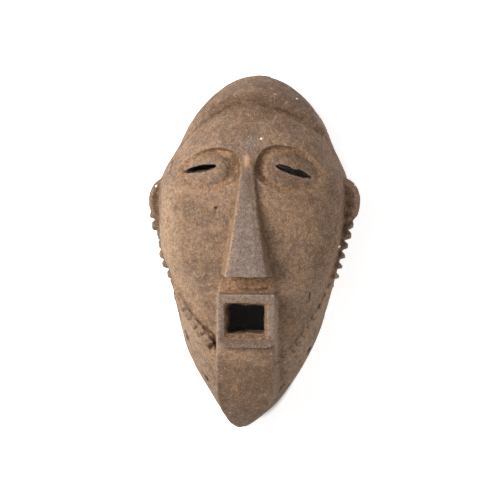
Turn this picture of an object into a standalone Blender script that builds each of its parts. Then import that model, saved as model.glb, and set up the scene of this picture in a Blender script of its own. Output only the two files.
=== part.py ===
"""A carved wooden face mask that lies face up on its flat back rim.

It is one piece of wood: an egg-shaped dome with a pointed chin, hollowed from behind. The slit eyes,
the square mouth and the cord holes go right through the wall. +Z is the way the face looks, +Y points to
the crown, and the origin is on the ground under the middle of the mask. Lengths are in metres. The
carving keeps its places as shares of the mask's own length, width and depth.
"""

import math

import bmesh
import bpy
import numpy as np
from mathutils import Matrix, Vector
from mathutils.bvhtree import BVHTree

# The block
LENGTH = 0.403  # crown to the tip of the chin
WIDTH = 0.2135  # across the cheeks, without ears or beard
DEPTH = 0.110  # back rim to the flat of the cheeks
RIM_WALL = 0.012  # wood left at the widest part of the rim
FACE_WALL = 0.016  # wood left behind the face
CHIN_WALL = 0.030  # wood left at the pointed end of the hollow
CROWN_WALL = 0.012  # wood left at the crown
TRIM = 0.003  # what is cut off below the ground, to leave the rim flat

# Outline of the rim, seen from the front: places along the length from -1 at the chin to 1 at the crown,
# and the share of an ellipse's width that the mask has there.
FULLNESS = (
    (-1.0, 0.38), (-0.93, 0.535), (-0.75, 0.70), (-0.5, 0.815), (-0.3, 0.848), (-0.2, 0.864), (-0.1, 0.883),
    (0.0, 0.936), (0.24, 1.020), (0.45, 1.098), (0.62, 1.05), (0.8, 1.05), (1.0, 0.98),
)  # fmt: skip
# The carver's eye was not true: how far the outline's middle strays sideways, as a share of the width.
LEAN = (
    (-1.0, -0.070), (-0.84, -0.050), (-0.5, -0.030), (-0.2, -0.0120), (-0.1, -0.0050), (0.0, -0.0090),
    (0.15, -0.0105), (0.35, -0.005), (0.55, -0.003), (0.75, 0.018), (1.0, 0.024),
)  # fmt: skip
# Height of the dome along its middle, as a share of the depth, and how square its cross-section is.
CREST = (
    (-1.0, 0.42), (-0.8, 0.61), (-0.65, 0.75), (-0.48, 0.86), (-0.3, 0.93), (-0.15, 0.965), (0.0, 0.985),
    (0.25, 1.0), (0.47, 0.99), (0.6, 0.955), (0.75, 0.88), (0.88, 0.79), (1.0, 0.68),
)  # fmt: skip
SQUARENESS = (
    (-1.0, 2.0), (-0.6, 2.0), (-0.4, 2.2), (-0.2, 2.9), (0.0, 3.7), (0.3, 3.9), (0.5, 3.2), (0.8, 2.6),
    (1.0, 2.4),
)  # fmt: skip
SPINE = 0.80  # the rings close on a line this share of the length

# The rolled cap of hair above the forehead
CAP_GROOVE_TOP = 0.434  # share of the length, above the middle
CAP_GROOVE_DROP = 0.119  # how far the groove falls by the temples
CAP_GROOVE_SPAN = 0.40  # share of the width from the middle to where it has fallen that far
CAP_GROOVE_BEND = 1.8  # 1 is a straight fall, and more keeps it level for longer
CAP_TILT = 0.045  # how much higher the groove runs on the right
CAP_RISE = 0.0085
CAP_FADE = 0.55  # share of that which is gone where the groove has fallen
CAP_FRONT = 0.0058  # how far up the face the roll takes to reach its full height
CAP_BACK = (0.014, 0.054)  # where it begins to sink again, and where it has gone
CAP_GROOVE = 0.0022
CAP_GROOVE_HALF = 0.0035

# The cheeks are cut a little hollow: places as shares of the width from the nose, and of the length
CHEEK_CUT = 0.0020
CHEEK_INNER = (0.06, 0.16)
CHEEK_OUTER = (0.26, 0.42)
CHEEK_LOWER = (-0.20, -0.02)
CHEEK_UPPER = (0.10, 0.17)
# no relief below the first share of the way up the wall, and all of it above the second
CALM_RIM = (0.05, 0.30)

# Eyes, from left to right in front view: places are shares of the length, tilts are in degrees
SOCKET_MIDDLES = ((-0.110, 0.2475), (0.114, 0.2455))
SOCKET_HALVES = ((0.0360, 0.0235), (0.0390, 0.0262))
SOCKET_TILTS = (10.0, -15.0)
SOCKET_DEPTH = 0.0092
SOCKET_STEEP = (0.10, 0.10)  # what the floor lies towards the nose and the brow, as shares of the halves
# rings of a socket: share of its outline, steps towards the nose and brow, and share of its depth
SOCKET_RINGS = (
    (1.12, 0, -1.1), (1.0, 0, -0.04), (0.88, 1, 0.55), (0.74, 1.8, 1), (0.45, 1, 1), (0.15, 0, 1),
)  # fmt: skip
LID_SHARE = (0.78, 0.74)  # the lids against the sockets that they lie in
LID_SHIFT = (0.0033, -0.0012)  # towards the temple, and up
LID_RISE = 0.0088
# rings of a lid: share of its outline, and share of its rise
LID_RINGS = ((1.0, -0.5), (1.0, 0.10), (0.95, 0.42), (0.84, 0.74), (0.62, 0.95), (0.25, 1.0))
EYE_BLUNT = 0.8  # the end of an eye by the nose: 1 is an ellipse, and less is squarer
EYE_BEND = 1.5  # how late the temple end narrows
TEMPLE_TAPER = 0.30  # how much narrower an eye is at its temple end
SLIT_MIDDLES = ((-0.1305, 0.2515), (0.1215, 0.2440))
SLIT_HALVES = (0.0212, 0.0237)
SLIT_TILTS = (10.5, -19.0)
SLIT_HALF_HEIGHT = 0.0036
SLIT_LEAF = 0.45  # 0 is an ellipse, and more draws the ends out to points

# Nose: a long wedge with a flat front
NOSE_TOP, NOSE_TIP = 0.3205, -0.0385  # shares of the length
NOSE_MIDDLE = -0.003
NOSE_BRIDGE_HALF, NOSE_TIP_HALF = 0.0058, 0.0222
NOSE_BEND = 1.55  # 1 widens evenly, and more keeps the bridge narrow for longer
NOSE_ROOT = 0.60  # depth that the wedge grows from, as a share of the mask's depth
NOSE_START, NOSE_STEP = 0.90, 0.08  # front of the bridge at its top, and what it gains below that
NOSE_STEP_END = 0.2  # share of the nose over which it gains that
NOSE_RISE = 0.030  # the tip above the cheeks
NOSE_FLARE = 0.22  # how far the sides spread for each metre of depth
NOSE_FLAT = 0.55  # share of the front that is flat
NOSE_EDGES = (0.0012, 0.0022)  # how far the worn edges fall away, at the bridge and at the tip

# Muzzle and chin: one block with upright sides from the nose to the tip
MUZZLE_MIDDLE = -0.006
MUZZLE_HALF = 0.0325
MUZZLE_FLANK = 0.05  # how far the sides spread for each metre of depth
# shares of the half-width, and how far the front falls there
MUZZLE_FRONT = ((0.5, 0.0), (0.95, 0.0012), (1.0, 0.0030))
# place along the length, share of the muzzle's half-width, sideways stray as a share of the length, and
# height of the front as a share of the depth
MUZZLE = (
    (-0.041, 0.96, 0.004, 0.965), (-0.080, 0.98, 0.004, 0.975), (-0.105, 1.0, 0.004, 1.03),
    (-0.20, 1.0, 0.0, 1.035), (-0.27, 1.0, -0.002, 1.01), (-0.33, 1.0, -0.004, 0.965),
    (-0.38, 0.96, -0.006, 0.88), (-0.42, 0.77, -0.013, 0.76), (-0.45, 0.51, -0.022, 0.62),
    (-0.468, 0.33, -0.028, 0.50), (-0.480, 0.18, -0.032, 0.40), (-0.488, 0.06, -0.034, 0.30),
)  # fmt: skip

# Mouth: a raised square frame round a square hole
MOUTH_MIDDLE = (-0.0045, -0.159)
FRAME_HALF = (0.0318, 0.0298)
FRAME_FRONT = 1.035  # front of the block that carries the frame, as a share of the mask's depth
FRAME_RISE = 0.0085
FRAME_ROOT = 0.70  # depth that the frame grows from, as a share of the mask's depth
FRAME_CORNERS = (0.0020, 0.0020, 0.0095, 0.0095)  # radii, the two upper ones first
FRAME_FOOT = 0.0015  # how far its sides spread to their foot
FRAME_EDGE = (0.0010, 0.0015)  # the chamfer of its front edge, across and deep
HOLE_MIDDLE = (-0.0055, -0.1545)
HOLE_HALF = (0.0206, 0.0156)
HOLE_CORNER = 0.0035
LIP_BEVEL = (0.0020, 0.0055)  # how far the bevel of the hole reaches above, and below
LIP_BEVEL_SIDE = 0.0030
LIP_BEVEL_DEPTH = 0.0060

# Ears: dished lobes that stand out from the sides
EAR_PLACE = (0.1590, 0.42)  # shares of the length and of the depth
EAR_HALF = (0.0200, 0.0265, 0.0140)
EAR_OUT = (0.0118, 0.0168)  # how far each lobe stands out from the wall
EAR_RIM = 0.0030  # wood left outside the dish
DISH_HALF = (0.0130, 0.0215, 0.0070)
DISH_LIFT = (-0.0010, 0.0120)  # from the lobe's middle, down the face and forwards

# Beard: a toothed band from below each ear, along the jaw, to the chin
TOOTH_PITCH = 0.0117
BAND_ACROSS = 0.0150
# the middle of each band as shares of length, length and depth, then the height of the band and its teeth
BEARDS = (
    (
        (-0.268, 0.132, 0.34, 0.0012, 0.0096), (-0.264, 0.093, 0.36, 0.0006, 0.0088),
        (-0.262, 0.064, 0.41, 0.0, 0.0032), (-0.260, 0.037, 0.45, 0.0, 0.0026),
        (-0.257, 0.004, 0.46, 0.0, 0.0046), (-0.250, -0.030, 0.47, 0.0, 0.0052),
        (-0.242, -0.058, 0.48, 0.0, 0.0028), (-0.230, -0.088, 0.56, 0.0004, 0.0012),
        (-0.210, -0.113, 0.64, 0.0020, 0.0018), (-0.171, -0.153, 0.72, 0.0030, 0.0022),
        (-0.132, -0.204, 0.75, 0.0034, 0.0022), (-0.112, -0.235, 0.755, 0.0034, 0.0018),
    ),
    (
        (0.266, 0.136, 0.34, 0.0050, 0.0062), (0.264, 0.085, 0.38, 0.0034, 0.0070),
        (0.250, 0.005, 0.46, 0.0, 0.0074), (0.230, -0.055, 0.48, 0.0, 0.0062),
        (0.218, -0.085, 0.48, 0.0, 0.0036), (0.198, -0.133, 0.48, 0.0006, 0.0014),
        (0.160, -0.192, 0.55, 0.0006, 0.0012), (0.128, -0.243, 0.57, 0.0006, 0.0012),
        (0.086, -0.280, 0.64, 0.0004, 0.0010),
    ),
)  # fmt: skip
# a tooth from the side, in pitches along the band: its foot, then for each side where it starts to rise, its
# blunt top and where it is down again
TOOTH_FOOT = 0.56
TOOTH_PROFILES = ((-0.47, -0.20, 0.24, 0.45), (-0.48, -0.08, 0.12, 0.46))
TOOTH_SUNK = 0.0060  # how deep the teeth are rooted
# the slot that is cut at the lower end of the left-hand band
SLOT_PLACE = (-0.1105, -0.247)
SLOT_HALF = (0.0022, 0.0095, 0.0055)

# Cord holes round the edge, on the left and on the right: places are shares of the half-length
FIRST_HOLES = (-0.688, -0.754)
HOLE_STEPS = (0.2425, 0.221)
HOLE_COUNT = 7
# how high up the wall they are drilled: place, and height
HOLE_HEIGHTS = (
    ((-1.0, 0.038), (-0.69, 0.041), (-0.45, 0.045), (-0.2, 0.046), (0.04, 0.0255), (1.0, 0.0255)),
    ((-1.0, 0.0375), (-0.75, 0.0375), (-0.53, 0.0255), (1.0, 0.0255)),
)
CORD_HOLE = 0.0062
CORD_HOLE_LIFT = 0.45  # how much the drill pointed up, for each unit across
CORD_HOLE_REACH = 5  # how long its cutter is, in walls

TRIANGLES = 9300  # what the finished solid is thinned to
AROUND, RINGS = 240, 48  # how finely the dome is worked before that
HOLLOW_AROUND, HOLLOW_RINGS = 56, 12


def clear_scene():
    """Removes whatever the scene holds."""
    for old in list(bpy.data.objects):
        bpy.data.objects.remove(old)


def through(stations, place):
    """A smooth curve through (place, value) stations, read at the given places."""
    x, y = np.array(stations, float).T
    slope = np.gradient(y, x)
    i = np.clip(np.searchsorted(x, place) - 1, 0, len(x) - 2)
    step = x[i + 1] - x[i]
    t = np.clip((place - x[i]) / step, 0, 1)
    rise = y[i] * (2 * t**3 - 3 * t**2 + 1) + y[i + 1] * (3 * t**2 - 2 * t**3)
    return rise + step * (slope[i] * (t**3 - 2 * t**2 + t) + slope[i + 1] * (t**3 - t**2))


def ease(low, high, value):
    """0 below low, 1 above high, and an S-curve between them."""
    t = np.clip((value - low) / (high - low), 0, 1)
    return t * t * (3 - 2 * t)


def new_object(name, bm, hidden=True):
    """An object made of this bmesh, in the scene. Cutters and parts to be joined are hidden."""
    bmesh.ops.recalc_face_normals(bm, faces=bm.faces)
    mesh = bpy.data.meshes.new(name)
    bm.to_mesh(mesh)
    bm.free()
    made = bpy.data.objects.new(name, mesh)
    bpy.context.scene.collection.objects.link(made)
    if hidden:
        made.hide_render = True
        made.display_type = "WIRE"
    return made


def prism(loops):
    """A closed bmesh lofted through loops of the same number of points, with flat ends."""
    bm = bmesh.new()
    rows = [[bm.verts.new(p) for p in loop] for loop in loops]
    count = len(rows[0])
    for low, high in zip(rows, rows[1:]):
        for i in range(count):
            bm.faces.new((low[i], low[(i + 1) % count], high[(i + 1) % count], high[i]))
    bm.faces.new(rows[0])
    bm.faces.new(rows[-1])
    return bm


def dome_points(turn, up, walls=(0, 0, 0, 0)):
    """Points of the dome: turn goes round the rim from the crown, up from 0 at the rim to 1 on the spine.

    walls are what is taken off the rim's sides, the face, the crown and the chin, for the hollow.
    """
    side, face, crown, chin = walls
    half = (LENGTH - crown - chin) / 2
    middle = (chin - crown) / 2
    rim_y = middle + half * np.cos(turn)
    place = rim_y / (LENGTH / 2)
    half_width = through(FULLNESS, place) * (WIDTH / 2 - side)
    rim_x = through(LEAN, place) * WIDTH + np.sin(turn) * half_width
    spine_y = rim_y * SPINE
    spine_x = through(LEAN, place * SPINE) * WIDTH
    square = through(SQUARENESS, place)
    out = np.cos(up * math.pi / 2) ** (2 / square)
    x = spine_x + (rim_x - spine_x) * out
    y = spine_y + (rim_y - spine_y) * out
    crest = through(CREST, y / (LENGTH / 2)) * DEPTH - face
    z = (crest + TRIM) * np.sin(up * math.pi / 2) ** (2 / square) - TRIM
    return np.stack([x, y, z], axis=-1)


def dome_bmesh(walls, around, rings, carve=None):
    """A closed dome on a flat underside, which carve may change before it is lofted."""
    turn = np.linspace(0, 2 * math.pi, around, endpoint=False)[:, None]
    up = np.linspace(0, 1, rings)[None, :]
    points = dome_points(turn, up, walls)
    if carve:
        carve(points, up)
    ridge = points[:, -1]
    points[:, -1] = (ridge + ridge[-np.arange(around) % around]) / 2
    loops = [points[:, ring] for ring in range(rings)]
    if any(walls):
        loops.insert(0, points[:, 0] - np.array([0, 0, 4 * TRIM]))
    bm = prism(loops)
    bm.faces.ensure_lookup_table()
    bmesh.ops.delete(bm, geom=[bm.faces[-1]], context="FACES_ONLY")
    bm.verts.ensure_lookup_table()
    bmesh.ops.remove_doubles(bm, verts=bm.verts[-around:], dist=1e-6)
    bmesh.ops.recalc_face_normals(bm, faces=bm.faces)
    return bm


def outward(points):
    """Unit normals of a grid of points that runs round the dome and up it."""
    along = np.roll(points, -1, axis=0) - np.roll(points, 1, axis=0)
    rise = np.gradient(points, axis=1)
    normal = np.cross(rise, along)
    return normal / np.maximum(np.linalg.norm(normal, axis=2, keepdims=True), 1e-12)


def cap_relief(x, y):
    """The rolled cap stands above the forehead, behind a groove."""
    fall = (np.abs(x) / (CAP_GROOVE_SPAN * WIDTH)) ** CAP_GROOVE_BEND
    past = y - LENGTH * (CAP_GROOVE_TOP - CAP_GROOVE_DROP * fall) - CAP_TILT * x
    roll = ease(0, CAP_FRONT, past) * (1 - ease(*CAP_BACK, past))
    return CAP_RISE * (1 - CAP_FADE * fall) * roll - CAP_GROOVE * np.exp(-((past / CAP_GROOVE_HALF) ** 2))


def cheek_relief(x, y):
    """The cheeks are cut a little hollow beside the nose."""
    beside = np.abs(x - NOSE_MIDDLE * LENGTH) / WIDTH
    across = ease(*CHEEK_INNER, beside) * (1 - ease(*CHEEK_OUTER, beside))
    along = ease(*CHEEK_LOWER, y / LENGTH) * (1 - ease(*CHEEK_UPPER, y / LENGTH))
    return -CHEEK_CUT * across * along


def carve_face(points, up):
    """Moves the dome's points along its normals: the cap, its groove and the cheeks."""
    x, y = points[..., 0], points[..., 1]
    relief = (cap_relief(x, y) + cheek_relief(x, y)) * ease(*CALM_RIM, up)
    points += outward(points) * relief[..., None]


def hollow():
    """What is cut out of the back: a plainer dome inside the first."""
    walls = (RIM_WALL, FACE_WALL, CROWN_WALL, CHIN_WALL)
    return new_object("hollow_cutter", dome_bmesh(walls, HOLLOW_AROUND, HOLLOW_RINGS))


def almond(middle, half, tilt, count=28):
    """Points round an eye, from its middle: blunt towards the nose and narrower towards the temple."""
    temple = math.copysign(1, middle[0])
    c, s = math.cos(math.radians(tilt)), math.sin(math.radians(tilt))
    outline = []
    for angle in np.linspace(0, 2 * math.pi, count, endpoint=False):
        u, v = math.cos(angle), math.sin(angle)
        if temple * u < 0:
            u, v = math.copysign(abs(u) ** EYE_BLUNT, u), math.copysign(abs(v) ** EYE_BLUNT, v)
        v *= 1 - TEMPLE_TAPER * max(0, temple * u) ** EYE_BEND
        u, v = half[0] * u, half[1] * v
        outline.append((u * c - v * s, u * s + v * c))
    return outline


def over_dome(dome, middle, outline, rings):
    """A closed form that follows the dome: each ring is the outline scaled, moved over it, and raised."""
    x0, y0 = middle[0] * LENGTH, middle[1] * LENGTH
    loops = []
    for scale, across, up, rise in rings:
        loop = []
        for dx, dy in outline:
            x, y = x0 + scale * dx + across, y0 + scale * dy + up
            point, _, _, _ = dome.ray_cast(Vector((x, y, 2 * DEPTH)), Vector((0, 0, -1)))
            loop.append(point + Vector((0, 0, rise)))
        loops.append(loop)
    return prism(loops)


def socket(dome, i):
    """The cutter of a sunken socket, steep under the brow and by the nose, and gentle on the cheek."""
    in_x = -math.copysign(SOCKET_STEEP[0] * SOCKET_HALVES[i][0], SOCKET_MIDDLES[i][0])
    up = SOCKET_STEEP[1] * SOCKET_HALVES[i][1]
    rings = [(share, steep * in_x, steep * up, -deep * SOCKET_DEPTH) for share, steep, deep in SOCKET_RINGS]
    outline = almond(SOCKET_MIDDLES[i], SOCKET_HALVES[i], SOCKET_TILTS[i])
    return new_object(f"socket_cutter_{i}", over_dome(dome, SOCKET_MIDDLES[i], outline, rings))


def lid(dome, i):
    """The bulging lids that fill most of a socket."""
    rings = [(share, 0, 0, rise * LID_RISE - SOCKET_DEPTH) for share, rise in LID_RINGS]
    half = [share * h for share, h in zip(LID_SHARE, SOCKET_HALVES[i])]
    outline = almond(SOCKET_MIDDLES[i], half, SOCKET_TILTS[i])
    x, y = SOCKET_MIDDLES[i]
    middle = (x + math.copysign(LID_SHIFT[0], x) / LENGTH, y + LID_SHIFT[1] / LENGTH)
    return new_object(f"lid_{i}", over_dome(dome, middle, outline, rings))


def eye_slit(i):
    """A leaf-shaped slit right through the lids."""
    tilt = math.radians(SLIT_TILTS[i])
    c, s = math.cos(tilt), math.sin(tilt)
    x, y = SLIT_MIDDLES[i][0] * LENGTH, SLIT_MIDDLES[i][1] * LENGTH
    outline = []
    for angle in np.linspace(0, 2 * math.pi, 20, endpoint=False):
        u = SLIT_HALVES[i] * math.cos(angle)
        leaf = 1 - SLIT_LEAF * math.cos(angle) ** 2
        v = SLIT_HALF_HEIGHT * math.sin(angle) * leaf
        outline.append((x + u * c - v * s, y + u * s + v * c))
    loops = [[(px, py, z) for px, py in outline] for z in (0.3 * DEPTH, 1.2 * DEPTH)]
    return new_object(f"slit_cutter_{i}", prism(loops))


def nose():
    """A long wedge whose flat front grows out of the forehead and widens from the bridge to the tip."""
    root = NOSE_ROOT * DEPTH
    middle = NOSE_MIDDLE * LENGTH
    loops = []
    for share in np.linspace(0, 1, 11):
        y = LENGTH * (NOSE_TOP + (NOSE_TIP - NOSE_TOP) * share)
        half = NOSE_BRIDGE_HALF + (NOSE_TIP_HALF - NOSE_BRIDGE_HALF) * share**NOSE_BEND
        bridge = NOSE_START + NOSE_STEP * ease(0, NOSE_STEP_END, share)
        front = DEPTH * bridge + NOSE_RISE * share
        spread = half + NOSE_FLARE * (front - root)
        worn = front - NOSE_EDGES[0] - (NOSE_EDGES[1] - NOSE_EDGES[0]) * share
        right = [(NOSE_FLAT * half, front), (half, worn), (spread, root)]
        outline = [(-out, z) for out, z in reversed(right)] + right
        loops.append([(middle + out, y, z) for out, z in outline])
    return new_object("nose", prism(loops))


def muzzle():
    """The upright block under the nose that ends in the pointed chin."""
    loops = []
    for share, width, stray, front in MUZZLE:
        y = share * LENGTH
        half = width * MUZZLE_HALF
        middle = (MUZZLE_MIDDLE + stray) * LENGTH
        top = front * DEPTH
        foot = -TRIM
        right = [(part * half, top - fall) for part, fall in MUZZLE_FRONT]
        right.append((half + MUZZLE_FLANK * (top - foot), foot))
        outline = [(-out, z) for out, z in reversed(right)] + right
        loops.append([(middle + out, y, z) for out, z in outline])
    return new_object("muzzle", prism(loops))


def rounded_rectangle(middle, half, radii, z, steps=4):
    """Points round a rectangle at height z, anticlockwise from the upper right, each with its radius."""
    corners = ((1, 1), (-1, 1), (-1, -1), (1, -1))
    points = []
    for (sx, sy), radius in zip(corners, radii):
        cx = middle[0] + sx * (half[0] - radius)
        cy = middle[1] + sy * (half[1] - radius)
        start = math.atan2(sy, sx) - math.pi / 4
        for i in range(steps):
            angle = start + math.pi / 2 * i / (steps - 1)
            points.append((cx + radius * math.cos(angle), cy + radius * math.sin(angle), z))
    return points


def mouth_frame():
    """The raised lips, square above and rounded below."""
    middle = (MOUTH_MIDDLE[0] * LENGTH, MOUTH_MIDDLE[1] * LENGTH)
    top = DEPTH * FRAME_FRONT + FRAME_RISE
    half_foot = [half + FRAME_FOOT for half in FRAME_HALF]
    half_top = [half - FRAME_EDGE[0] for half in FRAME_HALF]
    loops = [
        rounded_rectangle(middle, half_foot, FRAME_CORNERS, FRAME_ROOT * DEPTH),
        rounded_rectangle(middle, FRAME_HALF, FRAME_CORNERS, top - FRAME_EDGE[1]),
        rounded_rectangle(middle, half_top, FRAME_CORNERS, top),
    ]
    return new_object("mouth_frame", prism(loops))


def mouth_hole():
    """The square hole through the mouth, bevelled in front and most of all below."""
    x, y = HOLE_MIDDLE[0] * LENGTH, HOLE_MIDDLE[1] * LENGTH
    top = DEPTH * FRAME_FRONT + FRAME_RISE
    above, below = LIP_BEVEL
    radii = (HOLE_CORNER,) * 4
    wide = (HOLE_HALF[0] + LIP_BEVEL_SIDE, HOLE_HALF[1] + (above + below) / 2)
    low = (x, y + (above - below) / 2)
    loops = [
        rounded_rectangle((x, y), HOLE_HALF, radii, 0.35 * DEPTH),
        rounded_rectangle((x, y), HOLE_HALF, radii, top - LIP_BEVEL_DEPTH),
        rounded_rectangle(low, wide, radii, top),
        rounded_rectangle(low, wide, radii, 1.1 * top),
    ]
    return new_object("mouth_cutter", prism(loops))


def egg(name, middle, half, segments=24):
    """An egg-shaped object."""
    bm = bmesh.new()
    bmesh.ops.create_uvsphere(bm, u_segments=segments, v_segments=segments // 2 + 1, radius=1.0)
    bmesh.ops.scale(bm, vec=half, verts=bm.verts)
    bmesh.ops.translate(bm, vec=middle, verts=bm.verts)
    return new_object(name, bm)


def ear(dome, side, out):
    """A lobe on the side wall, with a dished front."""
    y, z = EAR_PLACE[0] * LENGTH, EAR_PLACE[1] * DEPTH
    wall, _, _, _ = dome.ray_cast(Vector((side * WIDTH, y, z)), Vector((-side, 0, 0)))
    lobe = egg(f"ear_{side}", Vector((wall.x + side * (out - EAR_HALF[0]), y, z)), EAR_HALF)
    dish_x = wall.x + side * (out - EAR_RIM - DISH_HALF[0])
    dish_middle = Vector((dish_x, y + DISH_LIFT[0], z + DISH_LIFT[1]))
    combine(lobe, [egg(f"dish_cutter_{side}", dish_middle, DISH_HALF)], "DIFFERENCE")
    return lobe


def slot(dome):
    """The cutter of the slot at the end of the left-hand band."""
    x, y = SLOT_PLACE[0] * LENGTH, SLOT_PLACE[1] * LENGTH
    point, _, _, _ = dome.ray_cast(Vector((x, y, 2 * DEPTH)), Vector((0, 0, -1)))
    return egg("slot_cutter", point, SLOT_HALF, segments=12)


def beard(dome, stations, tooth, name):
    """Teeth like small roofs, set side by side across a band that follows the dome."""
    guide = np.array(stations, float) * (LENGTH, LENGTH, DEPTH, 1, 1)
    steps = np.linalg.norm(np.diff(guide[:, :3], axis=0), axis=1)
    along = np.concatenate([[0], np.cumsum(steps)])
    count = round(along[-1] / TOOTH_PITCH)
    pitch = along[-1] / count
    columns = [np.stack([along, column], axis=1) for column in guide.T]
    made = []
    for at in (np.arange(count) + 0.5) * pitch:
        here = np.array([through(column, at) for column in columns])
        ahead = np.array([through(column, at + 0.1 * pitch) for column in columns])
        point, normal, _, _ = dome.find_nearest(Vector(here[:3]))
        tangent = Vector(ahead[:3] - here[:3])
        tangent = (tangent - normal * tangent.dot(normal)).normalized()
        across = normal.cross(tangent) * BAND_ACROSS / 2
        base, ridge = here[3], here[3] + here[4]
        shares = (-TOOTH_FOOT, -TOOTH_FOOT, *tooth, TOOTH_FOOT, TOOTH_FOOT)
        heights = (-TOOTH_SUNK, base, base, ridge, ridge, base, base, -TOOTH_SUNK)
        profile = [point + tangent * (t * pitch) + normal * h for t, h in zip(shares, heights)]
        loops = [[corner + end * across for corner in profile] for end in (-1, 1)]
        made.append(new_object(f"{name}_{len(made)}", prism(loops)))
    return made


def cord_holes(dome):
    """Small holes for the cords that tied cloth or fibre to the rim."""
    made = []
    for side, first, step, heights in zip((-1, 1), FIRST_HOLES, HOLE_STEPS, HOLE_HEIGHTS):
        for i in range(HOLE_COUNT):
            place = first + i * step
            rim = dome_points(np.array(side * math.acos(place)), np.array(0.0))
            point, normal, _, _ = dome.find_nearest(Vector((rim[0], rim[1], through(heights, place))))
            direction = Vector((normal.x, normal.y, CORD_HOLE_LIFT)).normalized()
            bm = bmesh.new()
            radius = CORD_HOLE / 2
            depth = CORD_HOLE_REACH * RIM_WALL
            bmesh.ops.create_cone(bm, cap_ends=True, segments=8, radius1=radius, radius2=radius, depth=depth)
            turned = direction.to_track_quat("Z", "Y").to_matrix().to_4x4()
            bmesh.ops.transform(bm, matrix=Matrix.Translation(point) @ turned, verts=bm.verts)
            made.append(new_object(f"cord_cutter_{len(made)}", bm))
    return made


def apply_modifiers(target):
    """Replaces the target's mesh with what its modifiers make of it."""
    graph = bpy.context.evaluated_depsgraph_get()
    done = bpy.data.meshes.new_from_object(target.evaluated_get(graph))
    target.modifiers.clear()
    target.data = done


def combine(target, tools, operation):
    """Joins tools to the target, or cuts them from it, in one exact Boolean."""
    group = bpy.data.collections.new(f"{operation.lower()}_tools")
    for tool in tools:
        group.objects.link(tool)
    boolean = target.modifiers.new(operation.lower(), "BOOLEAN")
    boolean.operation = operation
    boolean.operand_type = "COLLECTION"
    boolean.collection = group
    apply_modifiers(target)
    bpy.data.collections.remove(group)


def thin_out(target):
    """Leaves the facets that the form needs."""
    target.data.calc_loop_triangles()
    thinner = target.modifiers.new("thinner", "DECIMATE")
    thinner.ratio = min(1.0, TRIANGLES / len(target.data.loop_triangles))
    apply_modifiers(target)


def flatten_rim(target):
    """Cuts away what is below the ground, so that the rim is one flat face."""
    bm = bmesh.new()
    bmesh.ops.create_cube(bm, size=1.0)
    bmesh.ops.scale(bm, vec=(2 * WIDTH, 2 * LENGTH, DEPTH), verts=bm.verts)
    bmesh.ops.translate(bm, vec=(0, 0, -DEPTH / 2), verts=bm.verts)
    combine(target, [new_object("ground_cutter", bm)], "DIFFERENCE")


def centre(target):
    """Puts the origin under the middle of the mask."""
    corners = [Vector(c) for c in target.bound_box]
    low = Vector(map(min, *corners))
    high = Vector(map(max, *corners))
    target.data.transform(Matrix.Translation((-(low.x + high.x) / 2, -(low.y + high.y) / 2, 0)))


def wood():
    """Dry, dusty, dark brown wood."""
    material = bpy.data.materials.new("weathered_wood")
    material.use_nodes = True
    shader = material.node_tree.nodes["Principled BSDF"]
    shader.inputs["Base Color"].default_value = (0.23, 0.145, 0.09, 1)
    shader.inputs["Roughness"].default_value = 0.75
    shader.inputs["Metallic"].default_value = 0.0
    return material


def build():
    clear_scene()
    bm = dome_bmesh((0, 0, 0, 0), AROUND, RINGS, carve_face)
    dome = BVHTree.FromBMesh(bm)
    mask = new_object("mask", bm, hidden=False)
    combine(mask, [socket(dome, i) for i in (0, 1)], "DIFFERENCE")
    ears = [ear(dome, side, out) for side, out in zip((-1, 1), EAR_OUT)]
    teeth = []
    for i, tooth in enumerate(TOOTH_PROFILES):
        teeth += beard(dome, BEARDS[i], tooth, f"tooth_{i}")
    combine(mask, [lid(dome, 0), lid(dome, 1), nose(), muzzle(), mouth_frame(), *ears, *teeth], "UNION")
    openings = [mouth_hole(), eye_slit(0), eye_slit(1), *cord_holes(dome)]
    combine(mask, [hollow(), *openings, slot(dome)], "DIFFERENCE")
    thin_out(mask)
    flatten_rim(mask)
    centre(mask)
    mask.data.materials.clear()
    mask.data.materials.append(wood())
    mask.data.shade_smooth()
    mask.data.set_sharp_from_angle(angle=math.radians(35))


build()
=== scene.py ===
import math

import bmesh
import bpy
import numpy as np
from mathutils import Matrix, Vector
from mathutils.bvhtree import BVHTree
from mathutils.kdtree import KDTree


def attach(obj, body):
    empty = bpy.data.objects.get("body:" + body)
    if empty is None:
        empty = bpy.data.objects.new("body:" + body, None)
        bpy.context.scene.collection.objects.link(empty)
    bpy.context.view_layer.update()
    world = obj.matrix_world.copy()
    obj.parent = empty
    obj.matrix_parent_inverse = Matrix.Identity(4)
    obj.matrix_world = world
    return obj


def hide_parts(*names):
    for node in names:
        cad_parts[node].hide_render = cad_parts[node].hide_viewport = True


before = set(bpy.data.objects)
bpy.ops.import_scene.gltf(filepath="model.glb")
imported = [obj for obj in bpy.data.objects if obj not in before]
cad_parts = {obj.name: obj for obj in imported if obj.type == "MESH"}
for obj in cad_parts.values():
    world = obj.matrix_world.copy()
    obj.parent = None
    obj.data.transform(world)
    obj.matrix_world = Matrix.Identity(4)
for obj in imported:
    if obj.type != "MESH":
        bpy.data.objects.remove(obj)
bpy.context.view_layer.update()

# The block: one piece of dense light wood, roughed out with an adze and hollowed from behind with a gouge.
# Years of handling have rounded each edge that the blade left, so the form is worked again on a fine net of
# points that keeps the solid's own shape.
mask = bpy.data.objects.new("carved_mask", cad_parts["mask"].data.copy())
bpy.context.scene.collection.objects.link(mask)
NET = 0.00120  # spacing of the points, in metres
WELD = 1e-6
EDGE_ANGLE = math.radians(28.0)  # the least bend that counts as an edge


def tree_of(points):
    """A tree that finds the nearest of these points."""
    tree = KDTree(len(points))
    for i, point in enumerate(points):
        tree.insert(point, i)
    tree.balance()
    return tree


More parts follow.
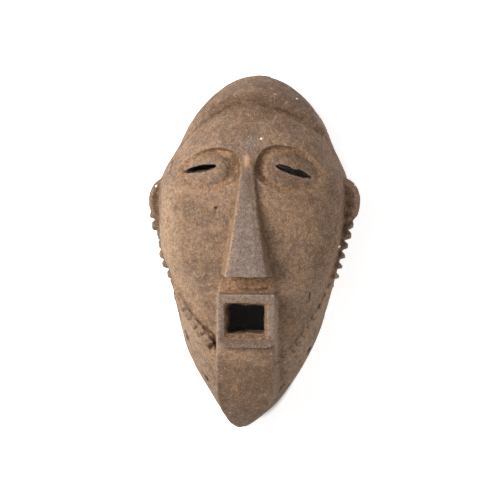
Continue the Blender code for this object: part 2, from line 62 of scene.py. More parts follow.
def sharp_edges(bm):
    """Points along the edges that the blade left."""
    points = []
    for edge in bm.edges:
        if len(edge.link_faces) == 2 and edge.calc_face_angle() > EDGE_ANGLE:
            a, b = edge.verts[0].co, edge.verts[1].co
            steps = max(1, math.ceil((b - a).length / NET))
            points += [a.lerp(b, i / steps) for i in range(steps + 1)]
    return points


solid = bmesh.new()
solid.from_mesh(mask.data)
bmesh.ops.remove_doubles(solid, verts=solid.verts, dist=WELD)
solid.to_mesh(mask.data)
edge_tree = tree_of(sharp_edges(solid))
solid.free()


def settle(piece):
    """Replaces the piece's mesh with what its modifiers make of it."""
    graph = bpy.context.evaluated_depsgraph_get()
    done = bpy.data.meshes.new_from_object(piece.evaluated_get(graph))
    piece.modifiers.clear()
    piece.data = done


remesh = mask.modifiers.new("net", "REMESH")
remesh.mode = "VOXEL"
remesh.voxel_size = NET
settle(mask)


def read(values, name, width=3, kind=np.float32):
    """Numbers of a list of mesh elements as rows."""
    flat = np.empty(len(values) * width, kind)
    values.foreach_get(name, flat)
    return flat.reshape(-1, width)


def ease(low, high, value):
    """0 at low, 1 at high, and an S-curve between them."""
    t = np.clip((value - low) / (high - low), 0, 1)
    return t * t * (3 - 2 * t)


EDGE_REACH = (0.0006, 0.0030)  # where the hold of an edge is full, and where it ends
EDGE_HOLD = 0.86
RIM_HEIGHT = 0.0004  # points lower than this lie on the flat back rim
points = read(mask.data.vertices, "co").astype(float)
edges = read(mask.data.edges, "vertices", 2, np.int32)
from_edge = np.array([edge_tree.find(point)[2] for point in points])
held = EDGE_HOLD * (1 - ease(*EDGE_REACH, from_edge))
rim = points[:, 2] < RIM_HEIGHT

# from here on, places and sizes on the mask are in millimetres, with the height above the rim last
MM = 1000
# ovals seen from the front: middle, half-sizes and tilt in degrees
SOCKETS = (((-45.4, 97.8), (36, 23.5), 10), ((44.8, 97.0), (39, 26.2), -15))
BY_SLITS = (((-51.302, 98), (26, 11), 0), ((50.624, 98), (26, 11), 0))
LID_SHARE = 0.80  # how much of a socket the soft lid fills
LID_HEIGHT = 80


def from_middle(p, ovals):
    """0 in the middle of the nearest oval and 1 on its line."""
    nearest = np.full(len(p), np.inf)
    for middle, half, tilt in ovals:
        c, s = math.cos(math.radians(tilt)), math.sin(math.radians(tilt))
        along = ((p[:, 0] - middle[0]) * c + (p[:, 1] - middle[1]) * s) / half[0]
        aside = (-(p[:, 0] - middle[0]) * s + (p[:, 1] - middle[1]) * c) / half[1]
        nearest = np.minimum(nearest, np.hypot(along, aside))
    return nearest


CHEEK_HALF = 96.0  # half-width of the cheeks at the height of the middle
CHEEK_GROWTH = 0.155  # and how much it grows towards the crown
TOOTH_ROOT = -2
TOOTH_TOP = 48
TOOTH_FREEDOM = 0.3


def past_cheek(p):
    """How far each point stands out beyond the cheeks."""
    return np.abs(p[:, 0]) - (CHEEK_HALF + CHEEK_GROWTH * p[:, 1])


def relax(points, edges, freedom, rounds):
    """Draws each point half way to its neighbours' middle in each round, as far as its freedom lets it."""
    count = len(points)
    degree = np.bincount(edges.ravel(), minlength=count)
    a, b = edges.T
    for _ in range(rounds):
        sums = [np.bincount(a, points[b, k], count) + np.bincount(b, points[a, k], count) for k in range(3)]
        points = points + 0.5 * freedom[:, None] * ((sums / degree).T - points)
    return points


ROUNDING = 14  # rounds of smoothing away from the edges
p = points * MM
soft_lid = (from_middle(p, SOCKETS) < LID_SHARE) & (p[:, 2] > LID_HEIGHT) & (from_middle(p, BY_SLITS) > 1)
held = np.where(soft_lid, 0, held)
toothed = (past_cheek(p) > TOOTH_ROOT) & (p[:, 1] < TOOTH_TOP)
freedom = np.where(toothed, TOOTH_FREEDOM, 1.0) * (1 - held)
points = relax(points, edges, np.where(rim, 0, freedom), ROUNDING)
points = relax(points, edges, np.where(soft_lid, 1.0, 0.0), ROUNDING)

# What the tools, insects and hands left: shallow adze facets, waves, pits, the ragged beard, nicks and cracks,
# all cut into the fine net along its normals, and the deeper scoops of a gouge in the hollow. A depth or height
# is how far the wood is cut or raised, and a half is half the width of a mark.
HOLLOW_INSET = 0.0030  # how far inside the rim's outline the hollow starts, in metres
LANE = 0.004  # width of the lanes in which that outline is read
OFF_WALL = 0.0003  # where a drop starts


def facing(mesh, points):
    """Puts the points into the mesh and gives its normals there."""
    mesh.vertices.foreach_set("co", points.astype(np.float32).ravel())
    mesh.update()
    return read(mesh.vertex_normals, "vector").astype(float)


def in_hollow(points, normals):
    """1 on the back of the wall, where a drop falls free and lands inside the rim."""
    polygons = [tuple(face.vertices) for face in mask.data.polygons]
    tree = BVHTree.FromPolygons([tuple(point) for point in points], polygons)
    ring = points[rim]
    starts = points + normals * OFF_WALL
    within = ~rim
    for k in (0, 1):
        lanes = np.round(ring[:, 1 - k] / LANE).astype(int)
        reach = {lane: (ring[lanes == lane, k].min(), ring[lanes == lane, k].max()) for lane in set(lanes)}
        low, high = np.array([reach.get(round(start[1 - k] / LANE), (1, -1)) for start in starts]).T
        within &= (starts[:, k] > low + HOLLOW_INSET) & (starts[:, k] < high - HOLLOW_INSET)
    inside = np.zeros(len(points))
    for i in np.flatnonzero(within):
        inside[i] = tree.ray_cast(Vector(starts[i]), Vector((0, 0, -1)))[0] is None
    return inside


def spread(value, rounds):
    """A value of each point, softened over its neighbours."""
    rows = np.stack([value] * 3, axis=1)
    return relax(rows, edges, np.ones(len(rows)), rounds)[:, 0]


HOLLOW_BLEND = 3  # rounds that soften the line between the outside and the hollow
HOLLOWNESS_REACH = 16  # rounds that make the smooth form which bumps and dips are read against
normals = facing(mask.data, points)
inside = spread(in_hollow(points, normals), HOLLOW_BLEND)
outside = 1 - inside
rounded = relax(points, edges, np.ones(len(points)), HOLLOWNESS_REACH)
hollowness = np.sum((rounded - points) * normals, axis=1) * MM
p = points * MM
x, y, z = p.T

CELLS = 48  # random numbers along each side before a wave repeats
CELL_SHIFT = 100
# turns the cells away from the mask's axes
TURN = np.array([[0.36, 0.48, -0.8], [-0.8, 0.6, 0.0], [0.48, 0.64, 0.6]])


def waves(p, size, seed):
    """Random smooth waves of about this size, from -1 to 1."""
    dice = np.random.default_rng(seed).uniform(-1, 1, (CELLS,) * 3)
    cell = p @ TURN / size + CELL_SHIFT
    low = np.floor(cell).astype(int)
    t = cell - low
    t = t * t * (3 - 2 * t)
    total = np.zeros(len(p))
    for corner in np.ndindex(2, 2, 2):
        c = np.array(corner)
        i, j, k = ((low + c) % CELLS).T
        total += np.prod(np.where(c, t, 1 - t), axis=1) * dice[i, j, k]
    return total


def rolling(p, kinds):
    """Waves of several kinds together: size, seed and height of each."""
    return sum(height * waves(p, size, seed) for size, seed, height in kinds)


def facets(p, pitch, seed, tilt):
    """Flat cuts of a blade, each tilted its own way."""
    rng = np.random.default_rng(seed)
    low, high = p.min(0), p.max(0)
    count = int(np.prod((high - low) / pitch))
    seeds = rng.uniform(low, high, (count, 3))
    lean = rng.normal(0, tilt, (count, 3))
    tree = tree_of(seeds)
    own = np.array([tree.find(point)[1] for point in p])
    return np.sum((p - seeds[own]) * lean[own], axis=1)


def to_line(p, line):
    """How far each point is from a line through these places."""
    nearest = np.full(len(p), np.inf)
    for a, b in zip(np.array(line[:-1], float), np.array(line[1:], float)):
        along = b - a
        t = np.clip((p - a) @ along / (along @ along), 0, 1)[:, None]
        nearest = np.minimum(nearest, np.linalg.norm(p - a - t * along, axis=1))
    return nearest


def near(value, half, power=2):
    """1 where a value is 0, and softly down to nothing on either side."""
    return np.exp(-((np.abs(value) / half) ** power))


def between(value, start, full, fade, end):
    """0 outside start and end, and 1 from full to fade."""
    return ease(start, full, value) * (1 - ease(fade, end, value))


# the whole surface: size, seed and height of its waves, then pitch, seed and tilt of the adze's cuts
SURFACE_WAVES = ((38, 1, 0.55), (15, 2, 0.28), (6, 3, 0.14), (2.6, 4, 0.08))
ADZE_CUTS = (17, 5, 0.012)
# pits and worn edges: depth, size and seed, and from which wave to which they grow
PIT_DEPTH, PITS, PIT_FROM = 0.3, (3.4, 6), (0.45, 0.8)
WEAR_DEPTH, WEAR, WEAR_FROM = 0.5, (7, 7), (-0.1, 0.7)
WORN_EDGE = (0.1, 1.2)  # how far an edge stands out where the wear starts and is full
cut = rolling(p, SURFACE_WAVES) + facets(p, *ADZE_CUTS)
cut -= PIT_DEPTH * ease(*PIT_FROM, waves(p, *PITS))
cut -= WEAR_DEPTH * ease(*WORN_EDGE, -hollowness) * ease(*WEAR_FROM, waves(p, *WEAR))

# the groove under the cap sinks to both sides from its top, and a little to the left
FRONT = 30  # what is higher above the rim belongs to the front
GROOVE_TOP, GROOVE_DROP, GROOVE_SPAN, GROOVE_BEND, GROOVE_TILT = 172.9, 48, 85.4, 1.8, 0.045
GROOVE_MIDDLE = -1.1
GROOVE_DEPTH, GROOVE_HALF = 1.4, 1.9
GROOVE_CHANGES = (14, 13)


def cap_groove(x):
    """How far up the face the groove lies, for each place across."""
    fall = (np.abs(x - GROOVE_MIDDLE) / GROOVE_SPAN) ** GROOVE_BEND
    return GROOVE_TOP - GROOVE_DROP * fall + GROOVE_TILT * x


uneven = 0.75 + 0.4 * waves(p, *GROOVE_CHANGES)
cut -= GROOVE_DEPTH * near(y - cap_groove(x), GROOVE_HALF) * (z > FRONT) * uneven * outside

# the beard: a ragged band down the left jaw with a groove above it, and teeth along both cheeks
LEFT_BAND = ((-92, -26, 60), (-85, -40, 74), (-78, -54, 77), (-66, -73, 80), (-56, -85, 84), (-47, -94, 87))
BAND_HALF, BAND_HEIGHT = 6.5, 0.8
BAND_LUMPS = ((4.4, 8, 1.3), (2.6, 12, 0.8))
LEFT_GROOVE = (
    (-82, -36, 79), (-71.9, -55.0, 83.4), (-60.4, -69.1, 86.8), (-49.3, -78.6, 86.1), (-42.5, -84.7, 87.9),
)  # fmt: skip
LEFT_GROOVE_HALF, LEFT_GROOVE_DEPTH = 1.6, 1.5
TEETH_REACH = (-78, -70, 44, 52)  # where they start, are full, fade and end up the face
TEETH_OUT, TEETH_HEIGHT = (-3.0, 0.5), (56, 62)
TOOTH_WEAR = ((5.0, 9, 0.8),)
band_left = near(to_line(p, LEFT_BAND), BAND_HALF, 4) * outside
band_groove = near(to_line(p, LEFT_GROOVE), LEFT_GROOVE_HALF) * outside
beyond_wall = past_cheek(p)
teeth = ease(*TEETH_OUT, beyond_wall) * between(y, *TEETH_REACH) * (1 - ease(*TEETH_HEIGHT, z)) * outside
cut += band_left * (rolling(p, BAND_LUMPS) + BAND_HEIGHT)
cut -= LEFT_GROOVE_DEPTH * band_groove
cut += teeth * rolling(p, TOOTH_WEAR)

# cracks, cuts and holes: a line, its half-width and its depth
CRACKS = (
    (((-89.7, 107.0, 64.9), (-90.8, 100.5, 71.8), (-91.9, 93.6, 77.4)), 1.2, 2.0),
    (((65.8, -38.1, 84.9), (64.4, -44.5, 82.6)), 0.9, 2.6),
    (((-10.6, -32.2, 107.1), (6, -32.6, 106.8), (20.1, -30.9, 106.5)), 0.8, 0.6),
    (((-37.1, 56.2, 108.9), (-36.4, 56.6, 108.9)), 1.3, 4.0),
    (((-41.5, -87.5, 87.5), (-40.2, -103.0, 84.0)), 1.9, 3.2),
    (((-38.0, 53.5, 108.6), (-38.6, 50.6, 108.4)), 0.7, 0.9),
    (((-8.8, -162.6, 90.2), (-1.8, -173.8, 79.6)), 0.6, 0.35),
    (((-13.0, -155.6, 95.0), (-5.8, -163.8, 89.0)), 0.6, 0.3),
)
crack = np.zeros(len(p))
for line, half, depth in CRACKS:
    here = near(to_line(p, line), half)
    cut -= depth * here
    crack = np.maximum(crack, here)

# worn scallops on the right jaw: place, and the way each opens in degrees
SCALLOPS = (
    (76.0, -56.3, 10), (68.0, -68.0, 25), (63.4, -77.9, 20), (57.0, -86.8, 30), (51.4, -98.1, 30),
    (46.0, -104.2, 40), (36.0, -109.9, 40), (30.1, -114.5, 50),
)  # fmt: skip
SCALLOP_RADIUS, SCALLOP_HALF, SCALLOP_DEPTH = 2.4, 0.75, 0.9
KNOB_HALF, KNOB_HEIGHT = math.sqrt(2.2), 0.35
scallop = np.zeros(len(p))
for middle_x, middle_y, opens in SCALLOPS:
    dx, dy = x - middle_x, y - middle_y
    away = np.hypot(dx, dy)
    along = dx * math.cos(math.radians(opens)) + dy * math.sin(math.radians(opens))
    ring = near(away - SCALLOP_RADIUS, SCALLOP_HALF) * ease(1.0, -1.0, along)
    scallop = np.maximum(scallop, ring * (z > FRONT))
    cut += KNOB_HEIGHT * near(away, KNOB_HALF)
cut -= SCALLOP_DEPTH * scallop

# a worn lip below the slit of each eye
SLITS = (((-74.5, 95.5, 87), (-32.9, 103.3, 104)), ((25.5, 104.1, 103), (70.3, 88.7, 95)))
LIP_DROP = (0, -4.6, -1)
LIP_HALF, LIP_HEIGHT = 1.3, 0.45
lip = np.max([near(to_line(p, np.array(slit) + LIP_DROP), LIP_HALF) for slit in SLITS], axis=0) * outside
cut += LIP_HEIGHT * lip

# the gouge's scoops in the hollow, and no cut close to the rim, which stays flat
GOUGE_CUTS = (15, 10, 0.09)
GOUGE_WAVES = ((9, 11, 0.5),)
SPARED = (0.3, 4.0)
LAST_FREEDOM = 0.6
scoops = facets(p, *GOUGE_CUTS) + rolling(p, GOUGE_WAVES)
cut = (outside * cut + inside * scoops) * ease(*SPARED, z)
points = points + normals * (cut / MM)[:, None]
points[:, 2] = np.where(rim, 0, np.maximum(points[:, 2], 0))
points = relax(points, edges, np.where(rim, 0, LAST_FREEDOM * (1 - held)), 1)
normals = facing(mask.data, points)

# The skin: dry brown patina, rubbed smooth and grey where fingers reached, the grey partly a painted sheen,
# with orange earth in the dips, painted light on the left flanks towards the rim, painted shade on the right
# cheek and the chin and in the cracks and deepest dips, some darker wood, and bare dark wood inside. Soft masks
# on the points say where each lies, and the finish breaks their edges up.
p = points * MM
x, y, z = p.T


def spots(p, places):
    """Soft round patches seen from the front: strength, middle and half-sizes of each."""
    total = np.zeros(len(p))
    for strength, middle, half in places:
        total += strength * np.exp(-((p[:, :2] - middle) ** 2 / np.array(half) ** 2).sum(1))
    return total


# the nose widens downwards from the brow; a reach says where a mask starts, is full, fades and ends
NOSE_MIDDLE, NOSE_TOP, NOSE_LENGTH, NOSE_FLARE = -2.3, 127, 144.7, 1.55
NOSE_HALF, NOSE_GROWTH = 5.8, 16.4
NOSE_REACH, NOSE_SIDE_REACH = (-19, -16, 112, 132), (-20, -17, 95, 115)
BESIDE_NOSE_REACH = (-20, 10, 100, 118)
UNDER_NOSE_REACH, UNDER_NOSE_MIDDLE, UNDER_NOSE_SIDE = (-37, -34, -19, -17), -2.6, (26, 31)
NOSE_HEIGHT = (104, 108)
nose_half = NOSE_HALF + NOSE_GROWTH * np.clip((NOSE_TOP - y) / NOSE_LENGTH, 0, 1) ** NOSE_FLARE
from_nose = np.abs(x - NOSE_MIDDLE)
nose = (1 - ease(0.92, 1.10, from_nose / nose_half)) * between(y, *NOSE_REACH)
nose *= ease(0.88, 0.96, normals[:, 2]) * ease(*NOSE_HEIGHT, z)
# the steep sides of the nose, which get painted shade
nose_side = ease(1.0, 1.15, from_nose / nose_half) * (1 - ease(7, 10, from_nose - nose_half))
nose_side *= between(y, *NOSE_SIDE_REACH) * (1 - ease(0.85, 0.95, normals[:, 2]))
beside_nose = near(from_nose - nose_half - 7, 5) * between(y, *BESIDE_NOSE_REACH)
under_nose = (1 - ease(*UNDER_NOSE_SIDE, np.abs(x - UNDER_NOSE_MIDDLE))) * between(y, *UNDER_NOSE_REACH)

# the frame of the mouth, and the bevel of its hole
FRAME_MIDDLE, FRAME_HALF = (-2.9, -66), (32, 30)
FRAME_HEIGHT = (114, 117)
HOLE_MIDDLE, HOLE_HALF = (-3.3, -64.2), (20.6, 15.6)
BEVEL_SIDE, BEVEL_TOP, BEVEL_FOOT = 4.5, 4.5, 8
BEVEL_HEIGHT = (108, 112)
across_frame, along_frame = (np.abs(p[:, :2] - FRAME_MIDDLE) / FRAME_HALF).T
lips = (1 - ease(0.96, 1.04, np.maximum(across_frame, along_frame))) * ease(*FRAME_HEIGHT, z) * outside
past_hole_x, past_hole_y = (np.abs(p[:, :2] - HOLE_MIDDLE) - HOLE_HALF).T
bevel_width = np.where(y > HOLE_MIDDLE[1], BEVEL_TOP, BEVEL_FOOT)
on_bevel = np.maximum(past_hole_x / BEVEL_SIDE, past_hole_y / bevel_width)
bevel = (1 - ease(0.6, 1.0, on_bevel)) * ease(*BEVEL_HEIGHT, z) * outside

# the eyes, the cap, and the edges where the face turns into the flanks
# how much painted shade lies on each lid
LEFT_LID, RIGHT_LID = 0.1, 1.3
SOCKET_RING, LID_END = (0.50, 0.80, 0.98, 1.14), (0.55, 0.80)
BEARD_REACH = (-80, -60, 40, 60)
EAR_OUT, EAR_FOOT = (99, 106), (32, 42)
LEFT_EDGE = (
    (-91.8, 102.6, 67.3), (-87.7, 75.5, 92.3), (-86.7, 48.1, 96.4), (-86.2, 10.3, 93.1), (-82, -20, 88),
)  # fmt: skip
RIGHT_EDGE = ((101, 62, 57), (98, 42, 68), (92, 16, 77), (82, -4, 86), (74, -24, 86))
in_socket = from_middle(p, SOCKETS)
socket_ring = between(in_socket, *SOCKET_RING)
lids = np.where(x < 0, LEFT_LID, RIGHT_LID) * (1 - ease(*LID_END, in_socket))
over_groove = y - cap_groove(x)
front = z > FRONT
cap_line = near(over_groove + 1.5, 3.2) * front
# where a shadow is painted under the cap's roll
cap_roll = near(over_groove - 5, 4.2) * front * ease(-70, 0, x)
groove_line = near(over_groove, 1.4) * front * ease(0, 12, np.abs(x - 20))
beside_teeth = near(beyond_wall + 7, 5) * between(y, *BEARD_REACH)
# the face's left edge, where a highlight is painted
left_edge_highlight = near(to_line(p, LEFT_EDGE), 3.5)
edge_right = near(to_line(p, RIGHT_EDGE), 5.0)
ear_left = (x < 0) * ease(*EAR_OUT, np.abs(x)) * ease(*EAR_FOOT, y)
ear_rim = near(beyond_wall - 6, 6)

# polish of many hands on the nose, lips and brow; its grey colour is partly a painted sheen, the sky's
# reflection on the rubbed wood
BROW_SPOTS = ((0.8, (-3, 126), (15, 8)),)
polish_and_painted_sheen = nose + 0.75 * lips + spots(p, BROW_SPOTS)

# earth in the dips and along the edges
DUST_SPOTS = (
    (0.6, (-3, -42), (20, 4)), (0.7, (-16.6, -143.1), (7, 9)), (0.45, (62, 50), (14, 12)),
    (0.45, (68, 27), (10, 14)), (0.5, (40, -75), (16, 16)), (0.35, (23, 161), (20, 8)),
)  # fmt: skip
EAR_SPOTS = ((0.6, (-112, 62), (14, 22)),)
dust = 0.7 * ease(0.10, 0.9, hollowness) + 0.55 * socket_ring + 0.85 * under_nose + 0.35 * beside_nose
dust += 0.4 * cap_line + 0.4 * beside_teeth + 0.5 * edge_right + 0.75 * bevel + 0.5 * band_groove
dust += ear_rim * spots(p, EAR_SPOTS) + spots(p, DUST_SPOTS)

# painted light: the flank is paler where it faces left, towards the key lamp, down to the jaw, with a painted
# highlight along the face's left edge
FLANK_REACH, FLANK_OUT = (-150, -60, 50, 100), (106, 112)
lit_flank = ease(0.25, 0.75, -normals[:, 0]) * between(y, *FLANK_REACH) * (1 - ease(*FLANK_OUT, -x))
lit_flank = np.maximum(lit_flank * (1 - 0.8 * teeth), 0.8 * left_edge_highlight) * (1 - 0.7 * band_left)

# painted shade, with some darker wood: darker on the right cheek away from the key lamp, towards the chin tip
# and the crown, under the cap's roll, on the lower lip, the lids, the sides of the nose and the corners beside
# it, and darker on the teeth, the left ear, the mouth's bevel and in listed patches
SHADE_SPOTS = (
    (0.5, (0, 139), (9, 9)), (0.5, (-5, -120), (12, 8)), (0.4, (55, 68), (28, 7)),
    (0.35, (15, -140), (14, 30)), (0.5, (60, 180), (30, 20)), (1.0, (-16.5, 107), (4.5, 10)),
    (1.0, (9.5, 106), (4.5, 11)), (0.45, (10, 165), (60, 9)), (0.9, (-2, 88), (8, 26)),
    (0.45, (-38, 140), (26, 18)), (-0.8, (-16.6, -143.1), (8, 10)), (-0.5, (22, -152), (9, 14)),
)  # fmt: skip
CHEEK_REACH, CHEEK_SIDE = (-60, 20, 110, 150), (5, 60)
CHIN_REACH, CHIN_SIDE = (-96, -150), (30, 44)
CROWN_REACH, LOWER_LIP = (148, 165), (-78, -86)
shade = 0.55 * ease(*CHEEK_SIDE, x) * between(y, *CHEEK_REACH)
shade += 1.35 * ease(*CHIN_REACH, y) * (1 - ease(*CHIN_SIDE, np.abs(x))) + 0.75 * ease(*CROWN_REACH, y)
shade += 0.8 * teeth + 0.9 * cap_roll + 0.9 * lids + 0.5 * bevel + 0.35 * band_left
shade += 0.8 * lips * ease(*LOWER_LIP, y) + 1.4 * ear_left + 0.5 * nose_side + spots(p, SHADE_SPOTS)

# black dirt and painted shade in the cracks, the cord holes that show from the front, the groove under the cap,
# the scallops and the groove above the left band, and painted shade in the deepest dips
CORD_HOLES = (
    (-76.7, -92.1, 45.0), (-55.8, -140.7, 40.8), (61.3, -109.4, 24.4), (28.2, -153.9, 37.5),
    (-90.5, -38.8, 54.9),
)  # fmt: skip
HOLE_DARKENING = (6.0, 3.6)  # how far from a hole the dirt and painted shade start and are full
cord = np.max([ease(*HOLE_DARKENING, np.linalg.norm(p - place, axis=1)) for place in CORD_HOLES], axis=0)
grime_and_shade = crack + 0.4 * groove_line + 1.4 * cord + 0.6 * scallop + 0.7 * band_groove
# painted shade in the deepest dips
grime_and_shade += 0.75 * ease(0.6, 1.9, hollowness)

# small white chips, each with its radius, and a patch of bare wood on the bridge of the nose
CHIPS = (
    (12.5, 131.8, 1.5), (-110.3, 78.7, 1.4), (96.5, 11.9, 1.2), (48.8, 176.5, 1.0), (25.4, 181.7, 0.9),
    (-3.5, -37.8, 0.9), (113.5, 80.0, 0.9),
)  # fmt: skip
CHIP_FROM = 20  # none lies lower than this
BARE_PATCH = ((-3.5, 112.2, 106.4), (-3.1, 103.6, 110.2))
BARE_HALF = 2.4
chips = np.max([near(np.hypot(x - place_x, y - place_y), half) for place_x, place_y, half in CHIPS], axis=0)

layers = {
    "polish_and_painted_sheen": np.clip(polish_and_painted_sheen, 0, 1) * outside,
    "dust": np.clip(dust, 0, 1) * outside * (1 - nose),
    "lit_flank": lit_flank * outside,
    "shade": np.clip(shade, 0, 1) * outside,
    "grime_and_shade": np.clip(grime_and_shade, 0, 1) * outside,
    "chips": chips * (z > CHIP_FROM) * outside,
    "bare": near(to_line(p, BARE_PATCH), BARE_HALF) * outside,
    "inside": inside,
    "proud": np.clip(ease(0.15, 1.1, -hollowness) + 0.8 * lip, 0, 1) * outside,
    "bevel": bevel,
}
for name, value in layers.items():
    layer = mask.data.attributes.new(name, "FLOAT", "POINT")
    layer.data.foreach_set("value", value.astype(np.float32))

MOST_TRIANGLES = 192000
thinner = mask.modifiers.new("thinner", "DECIMATE")
mask.data.calc_loop_triangles()
thinner.ratio = min(1.0, MOST_TRIANGLES / len(mask.data.loop_triangles))
settle(mask)
mask.data.shade_smooth()


class Wire:
    """A socket of the finish. Sums and products of wires add the Math nodes that work them out."""

    def __init__(self, tree, socket=None):
        self.tree = tree
        self.socket = socket

    def node(self, kind, settings, inputs, output=0):
        """Adds a node: its settings first, then its sockets' values or wires."""
        made = self.tree.nodes.new("ShaderNode" + kind)
        for name, value in settings.items():
            setattr(made, name, value)
        for name, value in inputs.items():
            if isinstance(value, Wire):
                self.tree.links.new(value.socket, made.inputs[name])
            else:
                made.inputs[name].default_value = value
        return Wire(self.tree, made.outputs[output])

    def maths(self, operation, *values):
        return self.node("Math", {"operation": operation}, dict(enumerate(values)))

    def __add__(self, other):
        return self.maths("ADD", self, other)

    def __sub__(self, other):
        return self.maths("SUBTRACT", self, other)

    def __rsub__(self, other):
        return self.maths("SUBTRACT", other, self)

    def __mul__(self, other):
        return self.maths("MULTIPLY", self, other)

    def __truediv__(self, other):
        return self.maths("DIVIDE", self, other)

    def __rtruediv__(self, other):
        return self.maths("DIVIDE", other, self)

    __radd__ = __add__
    __rmul__ = __mul__

    def clamp(self):
        return self.node("Clamp", {}, {0: self})

    def above(self, none, full):
        """0 at none, 1 at full, and a smooth step between."""
        return self.node("MapRange", {"interpolation_type": "SMOOTHSTEP"}, {0: self, 1: none, 2: full})

    def layer(self, name):
        """One of the soft masks on the points."""
        return self.node("Attribute", {"attribute_name": name}, {}, "Fac")

    def noise(self, size, detail, rough=0.5, stretch=(1, 1, 1)):
        """Noise of this grain size in metres, about 0.5."""
        place = self.node("TexCoord", {}, {}, "Object")
        place = self.node("VectorMath", {"operation": "MULTIPLY"}, {0: place, 1: stretch})
        values = {"Vector": place, "Scale": 1 / size, "Detail": detail, "Roughness": rough}
        return self.node("TexNoise", {}, values)

    def mix(self, share, first, second):
        """The first colour, and the second one where the share is 1."""
        return self.node("Mix", {"data_type": "RGBA"}, {0: share, 6: first, 7: second}, 2)

    def over(self, share, laid):
        """This colour with another laid over it where the share is 1."""
        return self.mix(share, self, laid)


def colour(red, green, blue):
    """A paint colour, given as a screen shows it from 0 to 255."""
    return tuple(((c / 255 + 0.055) / 1.055) ** 2.4 for c in (red, green, blue)) + (1,)


PATINA = colour(152, 122, 97)
PATINA_DARK = colour(92, 70, 55)
PATINA_LIGHT = colour(190, 160, 130)
CRUMB = colour(204, 176, 148)
DUST = colour(174, 132, 92)
OCHRE = colour(158, 120, 88)
GREY = colour(118, 105, 95)
DEEP_BROWN = colour(92, 62, 40)
PAINTED_SHEEN = colour(120, 107, 101)
LIT_FLANK = colour(176, 146, 116)
SHADE = colour(92, 67, 48)
GRIME_AND_SHADE = colour(34, 24, 17)
BARE = colour(208, 158, 122)
CHIP = colour(244, 236, 224)
EDGE = colour(172, 150, 130)
INSIDE = colour(78, 58, 43)

skin = bpy.data.materials.new("weathered_wood")
skin.use_nodes = True
shader = skin.node_tree.nodes["Principled BSDF"]
start = Wire(skin.node_tree)
cloud = start.noise(0.034, 3)
mottle = start.noise(0.010, 4, 0.65)
blotch = start.noise(0.0045, 3, 0.6)
tint = start.noise(0.018, 4, 0.6, (1, 0.7, 1))
patches = start.noise(0.0062, 3, 0.6)
grit = start.noise(0.0019, 3, 0.75)
sand = start.noise(0.0012, 2, 0.8)
fibre = start.noise(0.0024, 3, 0.5, (1, 0.14, 1))
streak = start.noise(0.0016, 2, 0.5, (1, 0.06, 1))
dusty = start.layer("dust")

# broad changes of the old surface, from brown to ochre and to grey
worn = (mottle * 0.7 + cloud * 0.7 - 0.2).above(0.40, 0.64) * 0.6
hue = tint * 0.6 + patches * 0.6 - 0.1
paint = start.mix(worn, PATINA, PATINA_DARK)
paint = paint.over(hue.above(0.50, 0.68) * 0.50, OCHRE)
paint = paint.over(hue.above(0.50, 0.34) * 0.65, GREY)

# what lies in its own places: painted light on the left flank, earth, polish with a painted sheen, painted
# shade with some darker wood, worn edges and the hollow
dusting = (dusty * 1.1 + mottle * 1.5 + blotch * 0.9 - 1.35).above(0.0, 1.0)
polish_and_sheen = (start.layer("polish_and_painted_sheen") * (1.5 - mottle) * (1 - start.layer("bevel"))).clamp()
# painted light on the left flank, and a painted highlight along the face's left edge
paint = paint.over((start.layer("lit_flank") * (streak * 0.6 + 0.6)).clamp() * 0.8, LIT_FLANK)
paint = paint.over(dusting * 0.8, DUST)
paint = paint.over((dusty * 1.3 - blotch * 1.7 + 0.15).clamp() * 0.8, DEEP_BROWN)
# painted sheen: grey laid where the polish would reflect the sky, together with the polish's own grey
paint = paint.over(polish_and_sheen * 0.85, PAINTED_SHEEN)
# painted shade, broken up by the mottle
paint = paint.over((start.layer("shade") * (mottle * 1.9 - 0.05)).clamp() * 0.75, SHADE)
paint = paint.over((start.layer("proud") * (blotch + 0.35)).clamp() * 0.75, EDGE)
paint = paint.over(start.layer("inside"), INSIDE)

# the fine grain of dirt and wear: a noise, where a speck starts and is full, how strong it is, and its colour
SPECKS = (
    (blotch, 0.54, 0.36, 0.40, PATINA_DARK),
    (blotch, 0.54, 0.72, 0.30, PATINA_LIGHT),
    (grit, 0.50, 0.30, 0.70, PATINA_DARK),
    (grit, 0.56, 0.74, 0.70, PATINA_LIGHT),
    (sand, 0.59, 0.71, 0.75, CRUMB),
    (sand, 0.42, 0.28, 0.60, GRIME_AND_SHADE),
    (fibre, 0.56, 0.74, 0.35, PATINA_DARK),
)
for noise, none, full, strength, laid in SPECKS:
    paint = paint.over(noise.above(none, full) * strength, laid)
paint = paint.over(start.layer("bare") * 0.85, BARE)
# black dirt and painted shade in the cracks, holes, grooves and deepest dips
paint = paint.over((start.layer("grime_and_shade") * (1.5 - blotch)).clamp() * 0.9, GRIME_AND_SHADE)
paint = paint.over((start.layer("chips") * 1.6).above(0.35, 0.8), CHIP)

BUMP_DEPTH = 0.0014
GLOSS_LEVEL = 0.3
dullness = 0.72 - polish_and_sheen * 0.30 + grit * 0.2 + dusting * 0.1
height = grit + sand * 0.5 + fibre * 0.4 + blotch
bump = start.node("Bump", {}, {"Strength": 1.0, "Distance": BUMP_DEPTH, "Height": height})
for name, wire in (("Base Color", paint), ("Roughness", dullness), ("Normal", bump)):
    skin.node_tree.links.new(wire.socket, shader.inputs[name])
shader.inputs["Specular IOR Level"].default_value = GLOSS_LEVEL
mask.data.materials.clear()
mask.data.materials.append(skin)

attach(mask, "root")
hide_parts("mask")

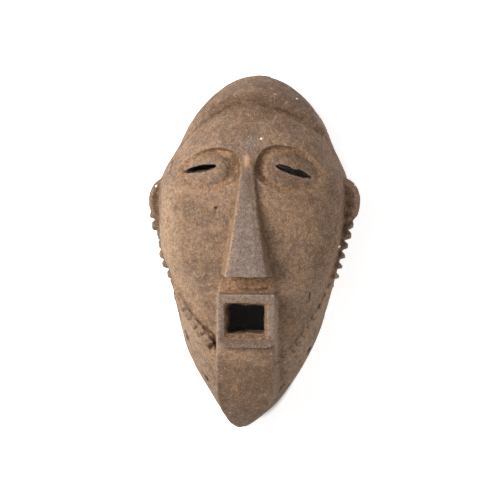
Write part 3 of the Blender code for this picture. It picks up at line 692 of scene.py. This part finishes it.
# The photographer's table: a plain white sheet, burnt out to pure white by the studio light. The mask keeps
# that glow off the part of the sheet below it, so the eyes and the mouth look into the dark.
SHEET_HALF = 3.0
SHEET_DROP = -0.0003
PAPER_TONE, PAPER_ROUGHNESS, PAPER_GLOW = 0.85, 0.9, 0.66
SHADOW_HALF = (0.088, 0.185)  # half-width at the middle and half-length of the mask's footprint
SHADOW_TAPER = 1.75  # how much it widens towards the crown
BLACK, WHITE = (0, 0, 0, 1), (1, 1, 1, 1)
corners = [(a * SHEET_HALF, b * SHEET_HALF, SHEET_DROP) for a, b in ((-1, -1), (1, -1), (1, 1), (-1, 1))]
sheet_mesh = bpy.data.meshes.new("floor")
sheet_mesh.from_pydata(corners, [], [(0, 1, 2, 3)])
floor = bpy.data.objects.new("floor", sheet_mesh)
bpy.context.scene.collection.objects.link(floor)
paper = bpy.data.materials.new("white_paper")
paper.use_nodes = True
paper_shader = paper.node_tree.nodes["Principled BSDF"]
paper_shader.inputs["Base Color"].default_value = (PAPER_TONE, PAPER_TONE, PAPER_TONE, 1)
paper_shader.inputs["Roughness"].default_value = PAPER_ROUGHNESS
paper_shader.inputs["Emission Strength"].default_value = PAPER_GLOW
blank = Wire(paper.node_tree)
ground = blank.node("TexCoord", {}, {}, "Object")
ground_x, ground_y = (blank.node("SeparateXYZ", {}, {"Vector": ground}, k) for k in (0, 1))
across_rim = ground_x / ((ground_y * SHADOW_TAPER + 1.0) * SHADOW_HALF[0])
along_rim = ground_y / SHADOW_HALF[1]
beyond = (across_rim * across_rim + along_rim * along_rim).above(1.0, 1.12)
glow = blank.mix(beyond, BLACK, WHITE)
paper.node_tree.links.new(glow.socket, paper_shader.inputs["Emission Color"])
sheet_mesh.materials.append(paper)

# The studio light: a soft key lamp at the upper left, a wide weak fill from the lower right, and white walls
# that throw a little light back from all round. Each lamp has its name, place, size and watts.
LAMPS = (("key", (-1.05, 0.48, 1.4), 1.0, 47), ("fill", (1.1, -0.5, 1.4), 1.4, 9))
AIM = Vector((0, 0, 0.05))
WALLS = 0.24
for name, place, size, watts in LAMPS:
    lamp = bpy.data.lights.new(name, "AREA")
    lamp.size = size
    lamp.energy = watts
    holder = bpy.data.objects.new(name, lamp)
    holder.location = place
    holder.rotation_mode = "QUATERNION"
    holder.rotation_quaternion = (Vector(place) - AIM).to_track_quat("Z", "Y")
    bpy.context.scene.collection.objects.link(holder)
studio = bpy.data.worlds.new("studio")
studio.use_nodes = True
studio.node_tree.nodes["Background"].inputs["Color"].default_value = WHITE
studio.node_tree.nodes["Background"].inputs["Strength"].default_value = WALLS
bpy.context.scene.world = studio
bpy.context.scene.view_settings.view_transform = "Standard"

# The camera looks almost straight down on the face, from a little to the right and towards the crown.
# It stands about two metres off with a long lens, so that what is near hardly looks larger.
TARGET = Vector((-0.00345, 0.0074, 0.06))
AWAY = 1.90
YAW, PITCH = math.radians(4.7), math.radians(4.0)
FOCAL, SENSOR = 122, 36
toward = Vector((math.tan(YAW), math.tan(PITCH), 1)).normalized()
across = Vector((0, 1, 0)).cross(toward).normalized()
up = toward.cross(across)
turned = Matrix((across, up, toward)).transposed().to_4x4()
lens = bpy.data.cameras.new("camera")
lens.lens = FOCAL
lens.sensor_width = SENSOR
camera = bpy.data.objects.new("camera", lens)
camera.matrix_world = Matrix.Translation(TARGET + AWAY * toward) @ turned
bpy.context.scene.collection.objects.link(camera)
bpy.context.scene.camera = camera
